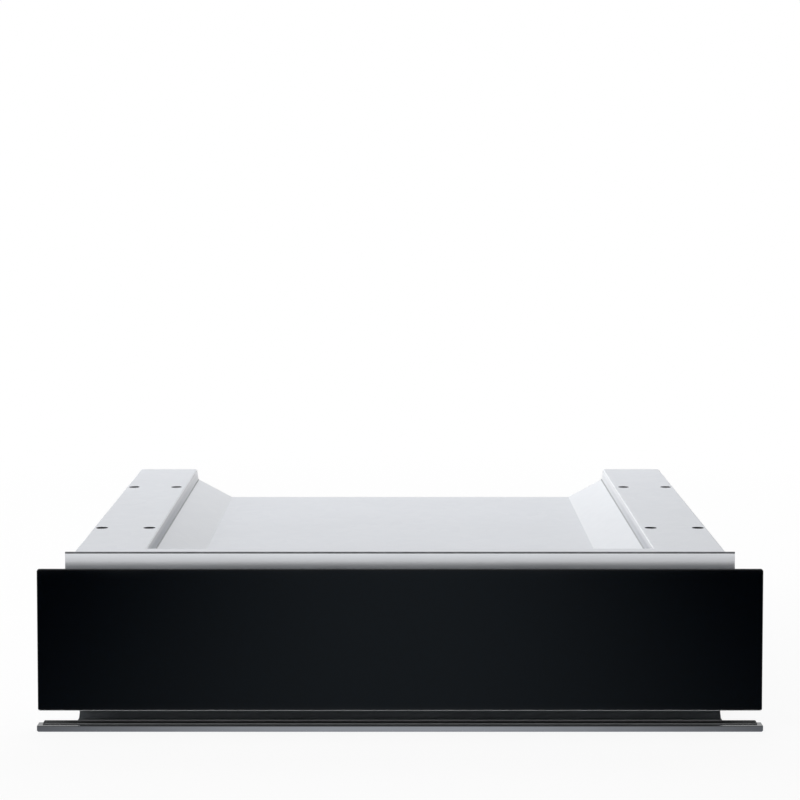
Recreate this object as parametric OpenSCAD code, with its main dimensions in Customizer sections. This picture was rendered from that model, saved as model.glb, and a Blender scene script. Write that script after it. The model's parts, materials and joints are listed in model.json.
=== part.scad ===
// Built-in warming drawer for a 60 cm kitchen niche, 145 mm high, with a black glass front.
// Millimetres. X runs to the right, Y from the front to the back, Z up. The origin is the middle
// of the base: Z = 0 is what the appliance stands on, and the glass front faces -Y.

/* [Housing] */
// Width over the two raised top rails
body_w = 540; // [536:1:544]
// Depth from the front frame's face to the rear panel's outer face
body_d = 520; // [510:5:530]
// Height from the shelf to the top rails
total_h = 145; // [144:1:150]
// Width of the front frame
frame_w = 554; // [552:1:558]
// Thickness of the galvanised sheet
sheet = 1.2; // [1:0.1:1.4]

/* [Top cover] */
// Width of each raised rail
rail_w = 58.5; // [55:0.5:60]
// Depth of the recess between the rails
recess_h = 29.2; // [26:0.2:30]
// Upright part of the recess's sides
recess_wall_h = 10.6; // [8:0.1:12]
// Sideways run of the recess's sloping sides
recess_slope_w = 34.7; // [30:0.1:40]
// Depth of the flat flange in front of the recess
recess_flange = 17; // [14:1:20]
// Diameter of the eight holes in the rails
rail_hole_d = 10.6; // [9:0.1:11]
// Distance between a rail's holes, side to side
rail_hole_dx = 41.6; // [38:0.2:42]
// Distance between a rail's holes, front to back
rail_hole_dy = 258; // [240:1:280]

/* [Glass front] */
// Width of the glass
glass_w = 595; // [592:1:597]
// Height of the glass
glass_h = 117; // [114:1:118]
// Thickness of the glass
glass_t = 4; // [3:0.5:5]
// Height of the glass's lower edge above the shelf
glass_lift = 17; // [16:0.5:18]
// How far the glass's face stands in front of the frame's face
glass_lead = 21; // [20:0.5:22]

/* [Sill] */
// Width of the metal bar under the glass
sill_w = 596; // [590:1:598]
// Depth of the bar
sill_d = 13; // [12:0.5:14]
// Height of the bar
sill_h = 5; // [4:0.5:6]
// How far the bar stands in front of the glass
sill_proud = 3; // [2:0.5:4]
// Width of the sheet behind the bar
plinth_w = 532; // [526:1:534]

/* [Drawer] */
// Travel of the drawer when pulled right out
travel = 420; // [400:10:430]
// How far the closed drawer can be pressed in
press_in = 3; // [2:0.5:3]
// Height of the drawer's floor tray above the shelf
drawer_z = 24; // [22:1:26]
// Height of the drawer's rim above the shelf
rim_z = 103; // [101:1:105]
// Depth of the warming pan
pan_d = 356; // [340:2:360]
// Thickness of the heated glass plate
plate_t = 4; // [3:0.5:5]

/* [Slides] */
// Length of each slide
slide_len = 480; // [470:5:490]
// Height of the slide's middle line above the shelf
slide_z = 64; // [62:1:66]
// Diameter of the slide's balls
ball_d = 4.6; // [4.2:0.1:4.8]
// Balls in each row
balls_per_row = 8; // [4:1:10]

/* [Controls] */
// Diameter of the temperature knob
knob_d = 25; // [22:1:28]
// Height of the knob above the fascia
knob_h = 9; // [7:0.5:10]
// Side of the square power button
button_w = 13; // [11:1:15]

/* [Fan] */
// Diameter of the fan wheel
fan_d = 36; // [32:1:36]
// Blades of the fan wheel
fan_blades = 12; // [8:1:14]

/* [Cable arm] */
// Distance between the pivots of each link
arm_len = 400; // [380:5:410]
// Width of each link
arm_w = 16; // [14:1:18]

/* [Hidden] */
$fn = 48;

// Depths, front to back
gland_out = 4;
total_d = sill_proud + glass_lead + body_d + gland_out;
front_y = -total_d / 2;
frame_y = front_y + sill_proud + glass_lead;
rear_y = frame_y + body_d;
glass_y = frame_y - glass_lead;
frame_t = 1.5;
recess_y = frame_y + recess_flange;

// The housing's section
side_x = body_w / 2 - sheet;
inner_x = side_x - sheet;
lip_h = 15;
tray_z = 4;
tray_x = plinth_w / 2 - 0.5;
lap_z = 13;
upstand_z = 28;
recess_x = body_w / 2 - rail_w;
recess_lean = 1.5;
recess_floor_x = recess_x - recess_lean - recess_slope_w;
recess_z = total_h - recess_h;
rail_hole_y = 7.6;

// The frame and its opening
frame_x = frame_w / 2;
frame_low = 13;
opening_x = inner_x - 2.1;
opening_low = 22;
opening_high = 126;
seal_h = 1.3;

// The slides: u runs inwards from the side panel, w up and down from the slide's middle line
slide_w = 12.7;
slide_t = 1.2;
slide_y = frame_y + 4;
race_gap = 0.1;
race_depth = 0.4;
outer_ball = [5.4, 18.7];
inner_ball = [7.4, 13.1];
outer_flange = outer_ball[1] + ball_d / 2 + race_gap - race_depth;
middle_flange = outer_ball[1] - ball_d / 2 - race_gap + race_depth;
inner_flange = inner_ball[1] - ball_d / 2 - race_gap + race_depth;
cage_t = 0.5;
cage_len = 230;
cage_y = slide_y + 125;

// The drawer
drawer_x = inner_x - slide_w;
drawer_t = 1;
drawer_back_y = frame_y + 455;
carrier_inset = 14.5;
carrier_low = 26;
carrier_high = 128;
bond_t = 0.8;
carrier_d = 12.2;
drawer_front_y = glass_y + glass_t + bond_t + carrier_d;
pan_x = drawer_x - 9;
pan_y = drawer_front_y + 45;
pan_z = drawer_z + 22;
pan_r = 22;
pan_floor_r = 6;
heated_x = pan_x - 31;
heated_d = pan_d - 56;
plate_margin = 21;
window_x = 112;
window_low = pan_z + 12;
window_high = rim_z - 7;

// The fan and heater behind the pan
fan_z = (window_low + window_high) / 2;
fan_y = pan_y + pan_d + 9;
fan_depth = 15;
duct_y = pan_y + pan_d;
duct_d = 26;
motor_y = duct_y + duct_d;
shaft_r = 1.5;
motor_r = 16;
tube_r = 3;
tube_z = 11;
bend_r = 7;

// The controls
fascia_h = 3.5;
fascia_y = drawer_front_y;
fascia_d = 36;
control_y = fascia_y + fascia_d / 2;
knob_x = 190;
button_x = 150;
lens_x = 125;
lens_r = 3;
selector_r = 3;

// The push latches and the cable arm
latch_x = 150;
latch_len = 40;
latch_z = slide_z;
plunger_r = 5;
strike_t = 1.2;
plunger_tip_y = drawer_back_y + strike_t + press_in + 0.4;
arm_x = -235;
arm_rear_y = rear_y - 12;
arm_front_y = drawer_back_y + 23;
arm_fold = acos((arm_rear_y - arm_front_y) / 2 / arm_len);
link_t = 1.2;
link_h = 10;
rear_link_z = 18;
front_link_z = rear_link_z + link_h + 1.6;
lead_r = 2.5;
lead_bend = 5.5;
lead_level = link_h / 2;
lead_bore = 3.2;
pivot_r = 5;
pivot_gap = 0.05;
catch_z = front_link_z + link_h + 1;

// Fixings
bend_out = 1.8;
rivet_y = [60, 240, 420];
drawer_rivet_y = [80, 240, 400];
screw_r = 2;
screw_head_r = 4;
screw_hole_r = 2.3;
fixing_r = 2.5;
fixing_z = [34, 104];
fixing_y = frame_y + 14;
rear_screw_x = [-205, -70, 70, 205];
rear_screw_z = 13;
side_screw_y = [-200, -20, 160];
side_screw_z = 21;
cover_screw_y = [-160, 20, 200];
cover_screw_z = total_h - 8;
foot_r = 11;
foot_x = 225;
foot_y = [-205, 230];

// 2D helpers

function unit(v) = v / norm(v);
function left_of(v) = [-v[1], v[0]];

// The corner i of a path, moved sideways by t so that the strip keeps its thickness round bends
function mitred(path, i, t) =
    let (
        last = len(path) - 1,
        before = left_of(unit(i > 0 ? path[i] - path[i - 1] : path[1] - path[0])),
        after = left_of(unit(i < last ? path[i + 1] - path[i] : path[last] - path[last - 1])),
        across = unit(before + after)
    )
    path[i] + across * t / (across * before);

function beside(path, t) = [for (i = [0:len(path) - 1]) mitred(path, i, t)];
function backwards(path) = [for (i = [len(path) - 1:-1:0]) path[i]];

// The outline of a folded sheet whose outer face follows a path
function folded(path, t) = concat(path, backwards(beside(path, t)));

// A path with each of its inner corners turned into a bend of radius r
function bent(path, r, steps = 4) =
    let (last = len(path) - 1)
    [for (i = [0:last]) each (i == 0 || i == last) ? [path[i]] : corner(path, i, r, steps)];

function corner(path, i, r, steps) =
    let (
        a = unit(path[i - 1] - path[i]),
        b = unit(path[i + 1] - path[i]),
        half = acos(a * b) / 2,
        middle = path[i] + unit(a + b) * r / sin(half),
        start = path[i] + a * r / tan(half) - middle,
        turn = sign(b[0] * a[1] - b[1] * a[0]) * (180 - 2 * half)
    )
    [for (k = [0:steps]) middle + turned(start, turn * k / steps)];

function turned(v, a) = [v[0] * cos(a) - v[1] * sin(a), v[0] * sin(a) + v[1] * cos(a)];

module rounded(w, h, r) {
    square([w - 2 * r, h], center = true);
    square([w, h - 2 * r], center = true);
    for (sx = [-1, 1], sy = [-1, 1])
        translate([sx * (w / 2 - r), sy * (h / 2 - r)]) circle(r);
}

module slot(len, r) {
    square([len - 2 * r, 2 * r], center = true);
    for (s = [-1, 1])
        translate([s * (len / 2 - r), 0]) circle(r);
}

// 3D helpers: a drawing in X and Z pushed along Y, one in Y and Z pushed along X, and mirror images

module along_y(y, d) {
    translate([0, y + d, 0]) rotate([90, 0, 0]) linear_extrude(d) children();
}

module along_x(x, w) {
    translate([x, 0, 0]) rotate([90, 0, 90]) linear_extrude(w) children();
}

module both_sides() {
    children();
    mirror([1, 0, 0]) children();
}

module on_side(side) {
    mirror([side < 0 ? 1 : 0, 0, 0]) children();
}

module rod_y(y, d, r) {
    translate([0, y, 0]) rotate([-90, 0, 0]) cylinder(h = d, r = r);
}

module rod_x(x, w, r) {
    translate([x, 0, 0]) rotate([0, 90, 0]) cylinder(h = w, r = r);
}

// A box on Z = 0 as a press draws it: upright corners of radius r, a floor edge of radius f
module pressed(w, d, h, r, f) {
    along_y(r - d / 2, d - 2 * r) floor_edges(w, h, f);
    along_x(r - w / 2, w - 2 * r) floor_edges(d, h, f);
    for (sx = [-1, 1], sy = [-1, 1])
        translate([sx * (w / 2 - r), sy * (d / 2 - r), 0])
            rotate_extrude() {
                square([r - f, h]);
                translate([0, f]) square([r, h - f]);
                translate([r - f, f]) circle(f);
            }
}

module floor_edges(w, h, f) {
    translate([f - w / 2, 0]) square([w - 2 * f, h]);
    translate([-w / 2, f]) square([w, h - f]);
    for (s = [-1, 1])
        translate([s * (w / 2 - f), f]) circle(f);
}

// A pan-head screw with a cross recess: its head's seat is at Z = 0 and its shank points down
module screw(grip) {
    head_h = 2.2;
    cross = [4.8, 1, 2];
    difference() {
        union() {
            cylinder(h = head_h, r = screw_head_r);
            translate([0, 0, -grip]) cylinder(h = grip, r = screw_r);
        }
        for (turn = [0, 90])
            rotate(turn) translate([-cross[0] / 2, -cross[1] / 2, head_h - 1.1]) cube(cross);
    }
}

// Housing

// The recess in the top cover, from one edge over the floor to the other
function recess_path() = [
    [-recess_x, total_h],
    [-recess_x + recess_lean, total_h - recess_wall_h],
    [-recess_floor_x, recess_z],
    [recess_floor_x, recess_z],
    [recess_x - recess_lean, total_h - recess_wall_h],
    [recess_x, total_h]
];

// The whole cover's section, from one lip to the other
function cover_path() =
    bent(concat([[-body_w / 2, total_h - lip_h], [-body_w / 2, total_h]], recess_path(),
        [[body_w / 2, total_h], [body_w / 2, total_h - lip_h]]), bend_out);

module rail_hole_places() {
    row_x = inner_x - rail_hole_d / 2 - 0.1 - rail_hole_dx / 2;
    for (sx = [-1, 1], dx = [-1, 1], dy = [-1, 1])
        translate([sx * row_x + dx * rail_hole_dx / 2, rail_hole_y + dy * rail_hole_dy / 2, 0]) children();
}

module top_cover() {
    edge = body_w / 2;
    flat = [[-edge, total_h - lip_h], [-edge, total_h], [edge, total_h], [edge, total_h - lip_h]];
    color("#d3d6da")
        difference() {
            union() {
                along_y(frame_y + 2, recess_flange - 2)
                    polygon(folded(bent(flat, bend_out), -sheet));
                along_y(recess_y, rear_y - recess_y) polygon(folded(cover_path(), -sheet));
                along_y(recess_y - sheet, sheet)
                    union() {
                        polygon(recess_path());
                        polygon(folded(recess_path(), -sheet));
                    }
            }
            rail_hole_places() translate([0, 0, total_h - 5]) cylinder(h = 10, d = rail_hole_d);
            for (s = [-1, 1], y = cover_screw_y)
                translate([0, y, cover_screw_z]) rod_x(s * edge - 3, 6, screw_hole_r);
        }
}

// Pressed ribs that stiffen a side panel, as pairs of long beads
module side_beads(grow) {
    bead_r = 6;
    bead_out = 1.4;
    ends = [-190, 210];
    for (z = [38, 112])
        translate([side_x - bead_r + bead_out, 0, z]) {
            rod_y(ends[0], ends[1] - ends[0], bead_r - grow);
            for (y = ends)
                translate([0, y, 0]) sphere(bead_r - grow);
        }
}

module side_panel() {
    vents = 9;
    vent_pitch = 16;
    first_vent_y = 60;
    vent_z = [88, 101];
    color("#c9ccd0")
        difference() {
            union() {
                along_x(inner_x, sheet)
                    translate([frame_y + frame_t, lap_z])
                        square([body_d - frame_t - sheet, total_h - bend_out - lap_z]);
                intersection() {
                    side_beads(0);
                    translate([side_x, -250, 0]) cube([sheet - 0.1, 500, total_h]);
                }
            }
            intersection() {
                side_beads(sheet);
                translate([inner_x - 1, -250, 0]) cube([sheet + 1, 500, total_h]);
            }
            for (i = [0:vents - 1], z = vent_z)
                translate([0, first_vent_y + vent_pitch * i, z]) along_x(inner_x - 1, 4) slot(12, 1.6);
            for (z = fixing_z)
                translate([0, fixing_y, z]) rod_x(inner_x - 1, 4, fixing_r);
            for (y = rivet_y)
                translate([0, slide_y + y, slide_z]) rod_x(inner_x - 1, 4, screw_r);
            for (y = side_screw_y)
                translate([0, y, side_screw_z]) rod_x(inner_x - 1, 4, screw_hole_r);
            for (y = cover_screw_y)
                translate([0, y, cover_screw_z]) rod_x(inner_x - 1, 4, screw_hole_r);
        }
}

// The tray's section: a floor, a joggle on each side and an upstand that the side panel laps
function tray_path() = [
    [-inner_x, upstand_z],
    [-inner_x, lap_z],
    [-tray_x, lap_z - 3],
    [-tray_x, tray_z],
    [tray_x, tray_z],
    [tray_x, lap_z - 3],
    [inner_x, lap_z],
    [inner_x, upstand_z]
];

module base_tray() {
    floor_y = frame_y + frame_t + sheet;
    floor_d = rear_y - sheet - floor_y;
    front_lip = 20;
    rib_x = [-160, 0, 160];
    rib_inset = 60;
    rib_h = 2.4;
    rib_foot = 8;
    rib_top = 5;
    vents = 7;
    vent_pitch = 14;
    first_vent_y = 120;
    color("#bfc3c7")
        difference() {
            union() {
                along_y(floor_y, floor_d) polygon(folded(tray_path(), sheet));
                for (y = [floor_y, floor_y + floor_d - sheet])
                    along_y(y, sheet)
                        translate([-tray_x, tray_z])
                            square([2 * tray_x, (y < 0 ? front_lip : upstand_z) - tray_z]);
                for (x = rib_x)
                    translate([x, 0, tray_z + 1])
                        along_y(floor_y + rib_inset, floor_d - 2 * rib_inset)
                            polygon([[-rib_foot, 0], [-rib_top, rib_h], [rib_top, rib_h], [rib_foot, 0]]);
            }
            for (x = rib_x)
                translate([x, 0, tray_z])
                    along_y(floor_y + rib_inset + 1, floor_d - 2 * rib_inset - 2)
                        polygon([
                            [-rib_foot, -1], [-rib_foot, 0], [-rib_top, rib_h - 0.4],
                            [rib_top, rib_h - 0.4], [rib_foot, 0], [rib_foot, -1]
                        ]);
            for (x = [-110, 110], i = [0:vents - 1])
                translate([x, first_vent_y + vent_pitch * i, 0]) linear_extrude(20) slot(60, 2.2);
            for (sx = [-1, 1], y = foot_y)
                translate([sx * foot_x, y, 0]) cylinder(h = 20, r = screw_hole_r);
            for (x = rear_screw_x)
                translate([x, 0, rear_screw_z]) rod_y(rear_y - 10, 20, screw_hole_r);
            for (s = [-1, 1], y = side_screw_y)
                translate([0, y, side_screw_z]) rod_x(s * inner_x - 3, 6, screw_hole_r);
        }
}

module rear_panel() {
    outline = concat(beside(cover_path(), -sheet), [[side_x, lap_z - 6], [-side_x, lap_z - 6]]);
    vent_pitch = [20, 14];
    first_vent_z = 46;
    vent_lean = 55;
    color("#c4c7cb")
        difference() {
            along_y(rear_y - sheet, sheet) polygon(outline);
            for (x = [-60, 60], k = [0:3], i = [-2:2])
                translate([x + vent_pitch[0] * i, 0, first_vent_z + vent_pitch[1] * k])
                    along_y(rear_y - 5, 10) rotate(vent_lean) slot(13, 1.8);
            translate([gland_x, 0, gland_z]) rod_y(rear_y - 5, 10, gland_hole_r);
            for (x = rear_screw_x)
                translate([x, 0, rear_screw_z]) rod_y(rear_y - 5, 10, screw_hole_r);
            for (s = [-1, 1])
                translate([s * latch_x, 0, latch_z]) rod_y(rear_y - 5, 10, screw_hole_r);
        }
}

module frame_outline(grow) {
    translate([-opening_x - grow, opening_low - grow])
        square([2 * (opening_x + grow), opening_high - opening_low + 2 * grow]);
}

module front_frame() {
    return_d = 8;
    corner_gap = 8;
    color("#c8cbce")
        union() {
            along_y(frame_y, frame_t)
                difference() {
                    translate([-frame_x, frame_low]) square([frame_w, total_h - seal_h - frame_low]);
                    frame_outline(0);
                }
            along_y(frame_y + frame_t, return_d)
                for (z = [opening_low - sheet, opening_high])
                    translate([corner_gap - opening_x, z]) square([2 * (opening_x - corner_gap), sheet]);
        }
}

module frame_seal() {
    color("#4a4c4f")
        translate([-frame_x, frame_y, total_h - seal_h]) cube([frame_w, 2, seal_h]);
}

// The sheet behind the bar hangs behind the frame, slopes forward and ends in a short foot on a
// thin strip, and the strip lies on the bar
module plinth_panel() {
    strip_t = 0.8;
    strip_y = front_y + 6;
    strip_d = 11;
    foot_y = front_y + 13.5;
    foot_z = sill_h + strip_t + sheet;
    back = frame_y + frame_t;
    slope = lap_z - 1 - foot_z;
    path = [[back, 20], [back, lap_z - 1], [back - slope, foot_z], [foot_y, foot_z]];
    color("#212427")
        union() {
            along_x(-plinth_w / 2, plinth_w) polygon(folded(path, sheet));
            translate([4 - sill_w / 2, strip_y, sill_h]) cube([sill_w - 8, strip_d, strip_t]);
        }
}

// The metal bar: chamfered along its front edges, with its lower corners cut off
module sill_bar() {
    chamfer = 0.6;
    corner = 1.2;
    y = front_y;
    section = [
        [y + chamfer, 0], [y + sill_d, 0], [y + sill_d, sill_h], [y + chamfer, sill_h],
        [y, sill_h - chamfer], [y, chamfer]
    ];
    x = sill_w / 2;
    face = [[-x + corner, 0], [x - corner, 0], [x, corner], [x, sill_h], [-x, sill_h], [-x, corner]];
    color("#77797c")
        intersection() {
            along_x(-x, sill_w) polygon(section);
            along_y(y - 1, sill_d + 2) polygon(face);
        }
}

module base_feet() {
    color("#2b2c2e")
        for (sx = [-1, 1], y = foot_y)
            translate([sx * foot_x, y, 0]) {
                cylinder(h = tray_z - 1, r1 = foot_r, r2 = foot_r - 0.6);
                translate([0, 0, tray_z - 1]) cylinder(h = 1, r = foot_r - 2);
                cylinder(h = tray_z + sheet + 1, r = screw_r);
                translate([0, 0, tray_z + sheet]) cylinder(h = 1.5, r = screw_head_r);
            }
}

module housing_screws() {
    color("#9a9da1") {
        for (x = rear_screw_x)
            translate([x, rear_y, rear_screw_z]) rotate([-90, 0, 0]) screw(5);
        for (s = [-1, 1])
            translate([s * latch_x, rear_y, latch_z]) rotate([-90, 0, 0]) screw(sheet);
        both_sides() {
            for (y = side_screw_y)
                translate([side_x, y, side_screw_z]) rotate([0, 90, 0]) screw(4);
            for (y = cover_screw_y)
                translate([body_w / 2, y, cover_screw_z]) rotate([0, 90, 0]) screw(4);
        }
    }
}

// Rivets that hold the cabinet rails, flush inside and domed outside
module slide_rivets() {
    color("#b4b8bc")
        both_sides()
            for (y = rivet_y)
                translate([0, slide_y + y, slide_z]) {
                    rod_x(inner_x - slide_t, sheet + slide_t, screw_r);
                    rod_x(side_x, 0.6, screw_head_r);
                    rod_x(side_x + 0.6, 0.3, screw_head_r - 1);
                }
}

// Where the mains lead comes in: an open box, its lid, and the gland through the rear panel

box_size = [60, 32, 40];
box_at = [arm_x - 14, rear_y - sheet - box_size[1], catch_z + 5];
gland_x = arm_x + 18;
gland_z = box_at[2] + 20;
gland_r = 8;
gland_hole_r = gland_r + 0.1;

module terminal_box() {
    wall = 1.5;
    block = [24, 10, 9];
    block_y = 14;
    poles = 3;
    pole_pitch = block[0] / poles;
    color("#e2e2de")
        difference() {
            translate(box_at) cube(box_size);
            translate(box_at + [wall, -1, wall]) cube(box_size - [2 * wall, wall - 1, 2 * wall]);
            translate([gland_x, 0, gland_z]) rod_y(rear_y - 10, 12, gland_hole_r);
            translate([arm_x, arm_rear_y, box_at[2] - 1]) cylinder(h = 4, r = lead_bore);
        }
    color("#e2e2de")
        difference() {
            translate(box_at + [wall, block_y, wall]) cube(block);
            for (i = [0:poles - 1])
                translate(box_at + [wall + pole_pitch * (i + 0.5), block_y - 1, wall + 5])
                    rod_y(0, block[1] + 2, 2);
        }
}

module terminal_lid() {
    slits = 4;
    slit_pitch = 10;
    t = 1.5;
    inset = 1.8;
    skirt_t = 1.2;
    hollow = inset + skirt_t;
    color("#d4d4d0")
        difference() {
            union() {
                translate(box_at + [0, -t, 0]) cube([box_size[0], t, box_size[2]]);
                difference() {
                    translate(box_at + [inset, 0, inset])
                        cube([box_size[0] - 2 * inset, 3, box_size[2] - 2 * inset]);
                    translate(box_at + [hollow, -1, hollow])
                        cube([box_size[0] - 2 * hollow, 5, box_size[2] - 2 * hollow]);
                }
            }
            for (i = [0:slits - 1])
                translate(box_at + [14 + slit_pitch * i, -2, 8]) cube([1.6, 4, 24]);
        }
}

module cable_gland() {
    neck = 9;
    collar_r = 11;
    chamfer = 1;
    nut_h = 5.5;
    bore_r = 4.2;
    color("#1f2022")
        translate([gland_x, 0, gland_z])
            difference() {
                union() {
                    rod_y(rear_y - sheet - neck, sheet + neck, gland_r);
                    rod_y(rear_y, gland_out - chamfer, collar_r);
                    translate([0, rear_y + gland_out - chamfer, 0]) rotate([-90, 0, 0])
                        cylinder(h = chamfer, r1 = collar_r, r2 = collar_r - 1.5);
                    translate([0, rear_y - sheet - 7, 0]) rotate([-90, 0, 0])
                        cylinder(h = nut_h, r = collar_r, $fn = 6);
                }
                rod_y(rear_y - 20, 40, bore_r);
            }
}

// Push latches on the rear panel: a press on the closed front frees the drawer

module latch_bodies() {
    seat_y = rear_y - sheet;
    flange_t = 3;
    collar = 3;
    corner_r = 3;
    color("#3a3d41")
        for (s = [-1, 1])
            translate([s * latch_x, 0, latch_z])
                difference() {
                    union() {
                        along_y(seat_y - latch_len, latch_len) rounded(22, 18, corner_r);
                        along_y(seat_y - flange_t, flange_t) rounded(40, 22, corner_r);
                        rod_y(seat_y - latch_len - collar, collar, plunger_r + 2);
                    }
                    rod_y(seat_y - latch_len - collar - 1, latch_len - 6, plunger_r + pivot_gap);
                    rod_y(seat_y - 5, 10, screw_hole_r);
                }
}

module latch_plunger() {
    color("#b9bcc0")
        translate([latch_x, 0, latch_z]) {
            rod_y(plunger_tip_y + 2, rear_y - sheet - 18 - plunger_tip_y, plunger_r);
            translate([0, plunger_tip_y, 0]) rotate([-90, 0, 0]) cylinder(h = 2, r1 = 3.8, r2 = 5.6);
        }
}

// Slides, drawn for the right side in u and w

module slide_part(y, d) {
    translate([inner_x, 0, slide_z]) mirror([1, 0, 0]) along_y(y, d) children();
}

module races(ball) {
    for (s = [-1, 1])
        translate([ball[0], s * ball[1]]) circle(ball_d / 2 + race_gap);
}

module cabinet_rail() {
    height = 2 * (outer_flange + slide_t);
    flange_u = 9.6;
    hem_u = 1;
    hem_w = 1.6;
    color("#d7dade")
        difference() {
            slide_part(slide_y, slide_len)
                difference() {
                    union() {
                        translate([0, -height / 2]) square([slide_t, height]);
                        for (s = [-1, 1])
                            translate([0, s * (outer_flange + slide_t / 2) - slide_t / 2])
                                square([flange_u, slide_t]);
                        for (s = [-1, 1])
                            translate([flange_u - hem_u, s * (outer_flange - hem_w / 2) - hem_w / 2])
                                square([hem_u, hem_w]);
                    }
                    races(outer_ball);
                }
            for (y = rivet_y)
                translate([0, slide_y + y, slide_z]) rod_x(inner_x - 3, 6, screw_r);
        }
}

// The middle member, with round openings for the tool that sets the cabinet rail's rivets
module middle_rail() {
    tool_hole_r = 5;
    web_u = 2.6;
    flange_u = 8.2;
    flange_t = 1.6;
    color("#cfd2d6")
        difference() {
            slide_part(slide_y + 3, slide_len - 6)
                difference() {
                    union() {
                        translate([web_u, -middle_flange]) square([slide_t, 2 * middle_flange]);
                        for (s = [-1, 1])
                            translate([web_u, s * (middle_flange - flange_t / 2) - flange_t / 2])
                                square([flange_u, flange_t]);
                    }
                    races(outer_ball);
                    races(inner_ball);
                }
            for (y = rivet_y)
                translate([0, slide_y + y, slide_z]) rod_x(inner_x - 6, 5, tool_hole_r);
        }
}

module drawer_rail() {
    flange_start_u = 5;
    color("#d7dade")
        difference() {
            slide_part(slide_y + 6, slide_len - 12)
                difference() {
                    union() {
                        translate([slide_w - slide_t, -inner_flange]) square([slide_t, 2 * inner_flange]);
                        for (s = [-1, 1])
                            translate([flange_start_u, s * (inner_flange - slide_t / 2) - slide_t / 2])
                                square([slide_w - flange_start_u, slide_t]);
                    }
                    races(inner_ball);
                }
            drawer_rivet_places() rod_x(-3, 6, screw_r);
        }
}

module drawer_rivet_places() {
    for (y = drawer_rivet_y)
        translate([drawer_x, slide_y + y, slide_z]) children();
}

// Rivets that hold the drawer's rails, domed outside and spread inside
module drawer_rivets() {
    color("#b4b8bc")
        both_sides()
            drawer_rivet_places() {
                rod_x(-drawer_t, drawer_t + slide_t, screw_r);
                rod_x(slide_t, 0.8, screw_head_r - 0.5);
                rod_x(slide_t + 0.8, 0.4, screw_head_r - 1.5);
                rod_x(-drawer_t - 0.8, 0.8, screw_head_r - 0.5);
            }
}

// A retainer with two arms and its two rows of balls, between two members of a slide
module ball_cage(ball, web_u) {
    end_gap = 10;
    pocket_r = ball_d / 2 + 0.1;
    pitch = (cage_len - 2 * end_gap) / (balls_per_row - 1);
    reach = ball[0] + ball_d / 2 + 0.5 - web_u;
    color("#a9acb0")
        difference() {
            slide_part(cage_y, cage_len)
                union() {
                    translate([web_u, -ball[1] - cage_t / 2]) square([cage_t, 2 * ball[1] + cage_t]);
                    for (s = [-1, 1])
                        translate([web_u, s * ball[1] - cage_t / 2]) square([reach, cage_t]);
                }
            for (i = [0:balls_per_row - 1])
                translate([inner_x - ball[0], cage_y + end_gap + pitch * i, slide_z])
                    cylinder(h = 50, r = pocket_r, center = true);
        }
    color("#e8eaec")
        for (i = [0:balls_per_row - 1], s = [-1, 1])
            translate([inner_x - ball[0], cage_y + end_gap + pitch * i, slide_z + s * ball[1]])
                sphere(d = ball_d);
}

// Drawer front

module glass_shape(inset) {
    corner_r = 1.6;
    translate([0, glass_lift + glass_h / 2])
        rounded(glass_w - 2 * inset, glass_h - 2 * inset, corner_r - inset / 2);
}

module front_glass() {
    bevel = 0.5;
    color("#0b0e12")
        hull() {
            along_y(glass_y, 0.01) glass_shape(bevel, $fn = 32);
            along_y(glass_y + bevel, glass_t - bevel) glass_shape(0, $fn = 32);
        }
}

module front_bond() {
    color("#222426")
        for (s = [-1, 1])
            translate([s * 200, glass_y + glass_t, (carrier_low + carrier_high) / 2])
                along_y(0, bond_t) square([130, 84], center = true);
}

// The steel carrier behind the glass: a sheet folded to a shallow box. Its lips take the drawer's
// screws, and two beads stiffen its front wall between the bond pads.
module front_carrier() {
    half = glass_w / 2 - carrier_inset;
    front = glass_y + glass_t + bond_t;
    back = front + carrier_d;
    low_lip = 22;
    high_lip = 44;
    end_lip = 60;
    section = bent([
        [back, carrier_low + low_lip], [back, carrier_low], [front, carrier_low],
        [front, carrier_high], [back, carrier_high], [back, carrier_high - high_lip]
    ], bend_out);
    color("#34373a")
        difference() {
            union() {
                along_x(-half, 2 * half) polygon(folded(section, -sheet));
                both_sides()
                    along_x(half - sheet, sheet) polygon(section);
                both_sides()
                    intersection() {
                        along_x(half - end_lip, end_lip) polygon(section);
                        translate([0, back - sheet, carrier_low])
                            cube([half, sheet, carrier_high - carrier_low]);
                    }
                intersection() {
                    carrier_beads(front, 0);
                    translate([-half, front + sheet / 2, carrier_low]) cube([2 * half, carrier_d / 2, 100]);
                }
            }
            carrier_beads(front, sheet);
            front_screw_places() rod_y(-1, 5, screw_hole_r);
        }
}

module carrier_beads(front, grow) {
    bead_r = 6;
    bead_in = 3;
    reach = 100;
    for (z = [-24, 24])
        translate([0, front - bead_r + bead_in, (carrier_low + carrier_high) / 2 + z]) {
            rod_x(-reach, 2 * reach, bead_r - grow);
            for (s = [-1, 1])
                translate([s * reach, 0, 0]) sphere(bead_r - grow);
        }
}

module front_screw_places() {
    for (sx = [-1, 1], x = [110, 235], z = [36, 90])
        translate([sx * x, drawer_front_y - 1.5, z]) children();
}

module front_screws() {
    color("#9a9da1")
        front_screw_places() translate([0, 2.5, 0]) rotate([-90, 0, 0]) screw(5);
}

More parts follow.
